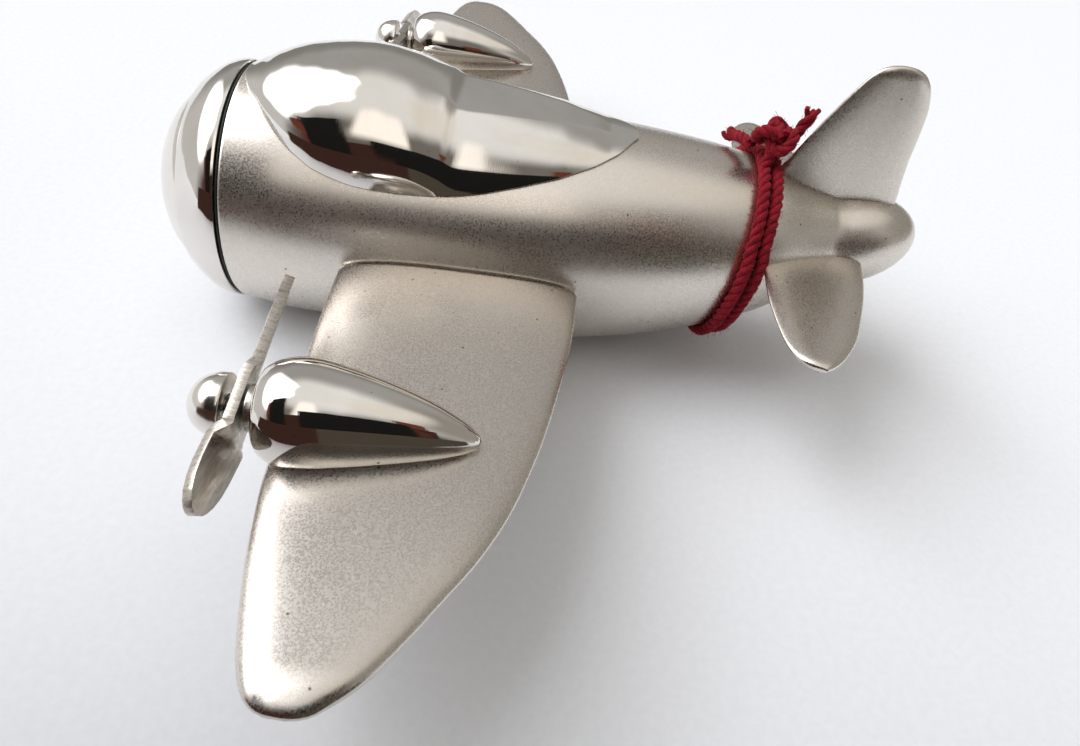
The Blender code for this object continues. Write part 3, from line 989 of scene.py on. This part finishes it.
def resample(points, count, closed):
    """Evenly spaced smooth points along a line."""
    line = points + [points[0]] if closed else points
    lengths = [0.0]
    for a, b in zip(line, line[1:]):
        lengths.append(lengths[-1] + (b - a).length)
    total = lengths[-1]
    done = []
    for i in range(count):
        want = total * i / (count if closed else count - 1)
        k = max(j for j in range(len(lengths)) if lengths[j] <= want + 1e-12)
        k = min(k, len(line) - 2)
        t = (want - lengths[k]) / max(lengths[k + 1] - lengths[k], 1e-12)
        done.append(line[k].lerp(line[k + 1], min(t, 1.0)))
    return done, total


def plied(name, lines, look, size, seed, fray=False):
    """Yarn of radius size along each line: three plies wound round each other, and loose
    fibres. fray opens the plies towards the end of the line."""
    draw = random.Random(seed)
    data = bpy.data.curves.new(name, "CURVE")
    data.dimensions = "3D"
    data.bevel_depth = 1.0
    data.bevel_resolution = 2
    data.use_fill_caps = True

    def spline(points, radii, closed):
        line = data.splines.new("POLY")
        line.points.add(len(points) - 1)
        for slot, point, radius in zip(line.points, points, radii):
            slot.co = (*point, 1)
            slot.radius = radius
        line.use_cyclic_u = closed

    for points, closed in lines:
        total = resample(points, 4, closed)[1]
        count = max(24, int(total / (0.3 * MM)))
        steps, total = resample(points, count, closed)
        turns = max(1, round(total / (PLY_LAY * MM)))
        frames = []
        up = Vector((0.3, 0.9, 0.2))
        for i in range(count):
            ahead = steps[(i + 1) % count] if closed or i < count - 1 else steps[i]
            behind = steps[i - 1] if closed or i else steps[i]
            forward = (ahead - behind).normalized()
            out = (up - forward * up.dot(forward)).normalized()
            up = out
            frames.append((steps[i], out, forward.cross(out), forward))
        if closed:  # takes up the turn that the carried frame gathers round the loop
            first, last = frames[0], frames[-1]
            gap = math.atan2(first[2].dot(last[1]), first[1].dot(last[1]))
        else:
            gap = 0.0
        for ply in range(3):
            line, radii = [], []
            for i, (at, out, across, forward) in enumerate(frames):
                t = i / count
                turn = 2 * math.pi * (turns * t + ply / 3) - gap * t
                splay = 1.0
                radius = size * 0.56
                if fray and not closed:
                    splay += 1.6 * max(0.0, t - 0.75) / 0.25
                    radius *= 1 - 0.35 * max(0.0, t - 0.75) / 0.25
                offset = out * math.cos(turn) + across * math.sin(turn)
                wobble = 1 + 0.06 * math.sin(7.3 * i * 0.13 + ply * 2 + seed)
                line.append(at + offset * size * 0.47 * splay * wobble)
                radii.append(radius)
            spline(line, radii, closed)
        fibres = int(total / MM * 5.5)
        for _ in range(fibres):
            at, out, across, forward = frames[draw.randrange(count)]
            turn = draw.uniform(0, 2 * math.pi)
            away = out * math.cos(turn) + across * math.sin(turn)
            lean = forward * draw.uniform(-1, 1) + across * draw.uniform(-0.5, 0.5)
            reach = size * draw.uniform(0.25, 1.15)
            bend = [at + away * size * 0.85]
            for k in (1, 2, 3):
                step = away * (reach * k / 3 * (1 - 0.12 * k)) + lean * (reach * 0.42 * k)
                bend.append(bend[0] + step)
            spline(bend, [size * 0.032] * 3 + [size * 0.012], False)
    curve = bpy.data.objects.new(name + "_line", data)
    bpy.context.scene.collection.objects.link(curve)
    bpy.context.view_layer.update()
    mesh = bpy.data.meshes.new_from_object(
        curve.evaluated_get(bpy.context.evaluated_depsgraph_get())
    )
    bpy.data.objects.remove(curve, do_unlink=True)
    mesh.name = name
    mesh.materials.clear()
    mesh.materials.append(look)
    mesh.shade_smooth()
    piece = bpy.data.objects.new(name, mesh)
    bpy.context.scene.collection.objects.link(piece)
    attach(piece, "airframe")
    return piece


def eased(points, count=24):
    """A smooth line through four guiding points."""
    done = []
    a, b, c, d = points
    for i in range(count):
        t = i / (count - 1)
        done.append(a * (1 - t) ** 3 + b * 3 * t * (1 - t) ** 2 + c * 3 * t**2 * (1 - t) + d * t**3)
    return done


def yarn_tie():
    """Two turns round the tail, a knot on top with its crossing legs, and two loose ends."""
    wool = red_wool("red_wool_yarn", (0.10, 0.002, 0.006, 1), (0.42, 0.012, 0.030, 1))
    for node, name, seed in (
        ("tie_loop_front", "yarn_turn_front", 3),
        ("tie_loop_rear", "yarn_turn_rear", 8),
    ):
        piece = plied(name, [(loop_line(node), True)], wool, YARN_RADIUS * MM, seed)
        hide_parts(node)

    centre = middle("tie_knot")
    knot = []
    for i in range(120):
        t = 2 * math.pi * i / 120
        knot.append(
            centre
            + Vector(
                (
                    0.92 * (math.sin(t) + 2 * math.sin(2 * t)),
                    0.92 * (math.cos(t) - 2 * math.cos(2 * t)),
                    -1.15 * math.sin(3 * t),
                )
            )
            * MM
        )
    top_front = max(loop_line("tie_loop_front"), key=lambda p: p.z)
    top_rear = max(loop_line("tie_loop_rear"), key=lambda p: p.z)
    legs = []
    for start, lean in ((top_front, -1), (top_rear, 1)):
        leg = eased(
            [
                start + Vector((-2.6 * lean, 0, 0.1)) * MM,
                start + Vector((-1.6 * lean, 0, 1.6)) * MM,
                centre + Vector((-0.8 * lean, -1.2 * lean, 1.9)) * MM,
                centre + Vector((1.6 * lean, 0.4 * lean, 0.9)) * MM,
            ]
        )
        legs.append((leg, False))
    piece = plied("yarn_knot", [(knot, True), *legs], wool, 0.84 * MM, 21)
    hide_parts("tie_knot")

    low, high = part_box("tie_end_up")
    start = Vector((middle("tie_end_up").x + 0.3 * MM, low.y - 0.2 * MM, low.z + 0.2 * MM))
    stop = Vector((middle("tie_end_up").x, high.y - 0.6 * MM, high.z - 0.2 * MM))
    rise = stop - start
    up_end = eased(
        [
            start - Vector((0, 0.4, 1.2)) * MM,
            start + rise * 0.3 + Vector((-0.7, 0.5, 0)) * MM,
            start + rise * 0.7 + Vector((0.8, 0.3, 0)) * MM,
            stop,
        ]
    )
    piece = plied("yarn_end_up", [(up_end, False)], wool, 0.86 * MM, 33, fray=True)
    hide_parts("tie_end_up")

    low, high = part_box("tie_end_side")
    start = Vector((high.x, high.y - 0.8 * MM, high.z - 0.7 * MM))
    stop = Vector((low.x + 0.3 * MM, low.y + 0.7 * MM, low.z + 0.8 * MM))
    side_end = eased(
        [
            start + Vector((1.6, 0.6, 0.2)) * MM,
            start.lerp(stop, 0.3) + Vector((0, 0, 0.4)) * MM,
            start.lerp(stop, 0.7),
            stop,
        ]
    )
    piece = plied("yarn_end_side", [(side_end, False)], wool, 0.84 * MM, 47, fray=True)
    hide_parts("tie_end_side")


# ---------------------------------------------------------------- stage

VIEW_FROM = Vector((0.10887, -0.00327, 0.08720))
VIEW_RIGHT = Vector((-0.04903, 0.99161, 0.11964))
VIEW_AHEAD = Vector((-0.73198, 0.04583, -0.67978))


def stage_floor():
    """A plain flat sheet of paper that reaches well past every view."""
    bm = bmesh.new()
    bmesh.ops.create_grid(bm, x_segments=8, y_segments=8, size=3.0)
    piece = new_piece("paper_floor", bm, plain_paper(), None, body=None)


def card(name, centre, across, up, size, colour):
    """A flag beside the airplane. Cameras look through it, and polished metal mirrors it."""
    bm = bmesh.new()
    bmesh.ops.create_grid(bm, x_segments=1, y_segments=1, size=0.5)
    for vert in bm.verts:
        vert.co = centre + across * vert.co.x * size[0] + up * vert.co.y * size[1]
    made, _, wire = finish(name)
    wire(
        Base_Color=(0.004, 0.004, 0.004, 1),
        Roughness=1.0,
        Specular_IOR_Level=0.0,
        Emission_Color=(*colour, 1),
        Emission_Strength=1.0,
    )
    piece = new_piece(name, bm, made, None, body=None)
    piece.visible_camera = False


ROOM = (
    # what it is, azimuth and elevation in degrees, half widths, softness, colour
    ("far_wall_low", (180, 8), (95, 22), (30, 14), (0.26, 0.25, 0.235)),
    ("far_wall_high", (180, 40), (95, 20), (30, 12), (0.42, 0.41, 0.40)),
    ("tail_wall", (100, 30), (40, 24), (18, 14), (0.34, 0.32, 0.285)),
    ("tail_window", (84, 64), (36, 12), (16, 9), (0.92, 0.87, 0.79)),
    ("nose_wall", (272, 8), (46, 22), (16, 14), (0.66, 0.65, 0.63)),
    ("nose_window", (262, 50), (38, 22), (7, 6), (4.6, 4.6, 4.7)),
    ("viewer_side_high", (0, 34), (44, 20), (10, 8), (0.20, 0.185, 0.165)),
    ("viewer_side_low", (0, 0), (54, 26), (12, 10), (0.075, 0.052, 0.042)),
    ("viewer_gap", (-3, 54), (15, 17), (6, 6), (1.45, 1.36, 1.27)),
)


def stage_light():
    """A pale grey room with a tall window off the nose and a smaller one off the tail."""
    world = bpy.data.worlds.new("soft_room")
    bpy.context.scene.world = world
    world.use_nodes = True
    graph = Graph(world.node_tree)
    world.node_tree.nodes.clear()
    way = graph.node("ShaderNodeTexCoord", out="Generated")
    x, y, z = graph.parts(way)
    around = graph.node("ShaderNodeMath", {"operation": "ARCTAN2"}, {0: y, 1: x})
    around = around * math.degrees(1)
    rise = graph.node("ShaderNodeMath", {"operation": "ARCSINE"}, {0: z}) * math.degrees(1)
    seen = graph.mix((0.62, 0.61, 0.59, 1), (0.98, 0.97, 0.95, 1), rise.rise(45, 72))
    for _, (azimuth, height), (wide, tall), (soft, soft_tall), colour in ROOM:
        turned_by = (around - (azimuth - 540)) % 360 - 180
        mask = 1 - turned_by.size().rise(wide - soft, wide + soft)
        mask = mask * (1 - (rise - height).size().rise(tall - soft_tall, tall + soft_tall))
        seen = graph.mix(seen, (*colour, 1), mask)
    plain = graph.node("ShaderNodeBackground", values={"Color": (0.90, 0.92, 0.95, 1)})
    reflected = graph.node("ShaderNodeBackground", values={"Color": seen, "Strength": 1.0})
    camera_ray = graph.node("ShaderNodeLightPath", out="Is Camera Ray")
    both = graph.node("ShaderNodeMixShader", values={0: camera_ray, 1: reflected, 2: plain})
    out = graph.tree.nodes.new("ShaderNodeOutputWorld")
    graph.tree.links.new(both.socket, out.inputs["Surface"])
    bpy.context.scene.view_settings.view_transform = "Standard"


def flags():
    """Dark cards round the viewpoint and low on its side, for the polished metal to mirror."""
    across, ahead = VIEW_RIGHT, VIEW_AHEAD
    up = across.cross(ahead)
    behind = VIEW_FROM - ahead * 0.012
    further = behind - ahead * 0.008
    black, dark = (0.010, 0.010, 0.009), (0.050, 0.022, 0.017)
    rust, olive = (0.15, 0.045, 0.028), (0.075, 0.062, 0.048)
    card("flag_middle", behind + across * 0.014 - up * 0.026, across, up, (0.086, 0.078), black)
    card("flag_left", behind - across * 0.088 + up * 0.006, across, up, (0.062, 0.112), black)
    card("flag_fill", further - across * 0.020 - up * 0.038, across, up, (0.240, 0.076), dark)
    card("flag_rust", further - across * 0.130, across, up, (0.036, 0.110), rust)
    card("flag_right", further + across * 0.068 - up * 0.010, across, up, (0.034, 0.080), rust)
    level, upright = Vector((0, 1, 0)), Vector((0, 0, 1))
    card("flag_low", Vector((0.135, 0.070, 0.030)), level, upright, (0.16, 0.058), olive)
    card("flag_low_red", Vector((0.134, -0.110, 0.030)), level, upright, (0.20, 0.058), dark)


def viewpoint():
    """Above the port wing, close to, looking down at the fuselage."""
    up = VIEW_RIGHT.cross(VIEW_AHEAD).normalized()
    right = VIEW_AHEAD.cross(up).normalized()
    data = bpy.data.cameras.new("viewpoint")
    data.sensor_width = 36.0
    data.lens = 27.34
    data.clip_start, data.clip_end = 0.01, 20
    camera = bpy.data.objects.new("viewpoint", data)
    turn = Matrix((right, up, -VIEW_AHEAD)).transposed().to_4x4()
    camera.matrix_world = Matrix.Translation(VIEW_FROM) @ turn
    bpy.context.scene.collection.objects.link(camera)
    bpy.context.scene.camera = camera


def build():
    """The stage, then the airplane from nose to tail."""
    viewpoint()
    stage_floor()
    stage_light()
    flags()
    satin = satin_nickel("satin_nickel_plate")
    satin_wing = satin_nickel("satin_nickel_wing", face_axis=2)
    satin_fin = satin_nickel("satin_nickel_fin", face_axis=0)
    mirror = polished_nickel("polished_nickel_plate")
    pale = polished_nickel("pale_nickel_plate", haze=0.10, tone=1.08)
    looks = (mirror, pale, screw_steel(), sheet_face(), sheared_edge())

    fuselage(satin)
    canopy(mirror)
    nose(mirror, pale, black_gasket())
    wings_and_tail(satin_wing, satin_fin)
    for word, side in SIDES.items():
        engine(word, side, looks)
    yarn_tie()


build()
